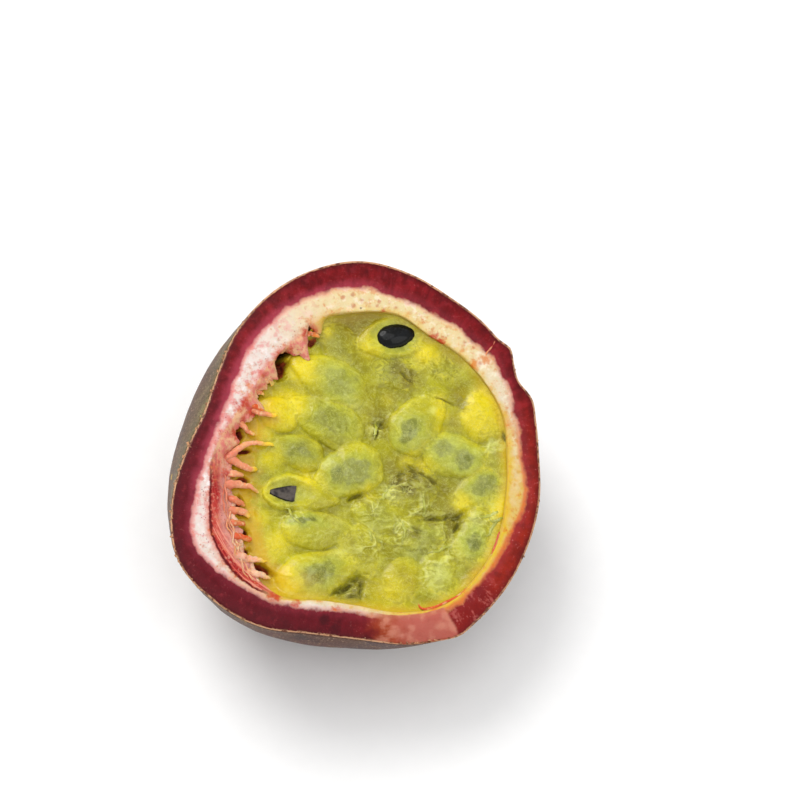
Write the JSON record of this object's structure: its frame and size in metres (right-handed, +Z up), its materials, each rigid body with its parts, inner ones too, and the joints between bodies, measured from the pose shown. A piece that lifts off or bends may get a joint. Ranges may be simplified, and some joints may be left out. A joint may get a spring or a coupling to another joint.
{
  "type": "passion fruit half",
  "caption": "Cut half of a purple passion fruit: leathery crimson and white rind with pegs on its inner wall, filled with yellow-green juice sacs that each hold a dark seed.",
  "frame": {"origin": "centre of the bounding box's bottom, on the surface that the half rests on", "axes": "+Z up; the cut face looks up and leans a little towards -Y and +X; the stalk's end of the cut is towards +X and +Y"},
  "size_m": [0.0548, 0.055, 0.0336],
  "materials": {
    "rind": "satin",
    "pulp_bed": "gloss",
    "juice_sac": "gloss",
    "seed": "gloss"
  },
  "bodies": {
    "root": {"rind": "rind", "pulp_bed": "pulp_bed", "juice_sac_01": "juice_sac", "juice_sac_02": "juice_sac", "juice_sac_03": "juice_sac", "juice_sac_04": "juice_sac", "juice_sac_05": "juice_sac", "juice_sac_06": "juice_sac", "juice_sac_07": "juice_sac", "juice_sac_08": "juice_sac", "juice_sac_09": "juice_sac", "juice_sac_10": "juice_sac", "juice_sac_11": "juice_sac", "juice_sac_12": "juice_sac", "juice_sac_13": "juice_sac", "juice_sac_14": "juice_sac", "juice_sac_15": "juice_sac", "juice_sac_16": "juice_sac", "juice_sac_17": "juice_sac", "juice_sac_18": "juice_sac", "juice_sac_19": "juice_sac", "juice_sac_20": "juice_sac", "juice_sac_21": "juice_sac", "juice_sac_22": "juice_sac", "juice_sac_23": "juice_sac", "seed_01": "seed", "seed_02": "seed", "seed_03": "seed", "seed_04": "seed", "seed_05": "seed", "seed_06": "seed", "seed_07": "seed", "seed_08": "seed", "seed_09": "seed", "seed_10": "seed", "seed_11": "seed", "seed_12": "seed", "seed_13": "seed", "seed_14": "seed", "seed_15": "seed", "seed_16": "seed", "seed_17": "seed", "seed_18": "seed", "seed_19": "seed", "seed_20": "seed", "seed_21": "seed", "seed_22": "seed", "seed_23": "seed"}
  },
  "joints": []
}
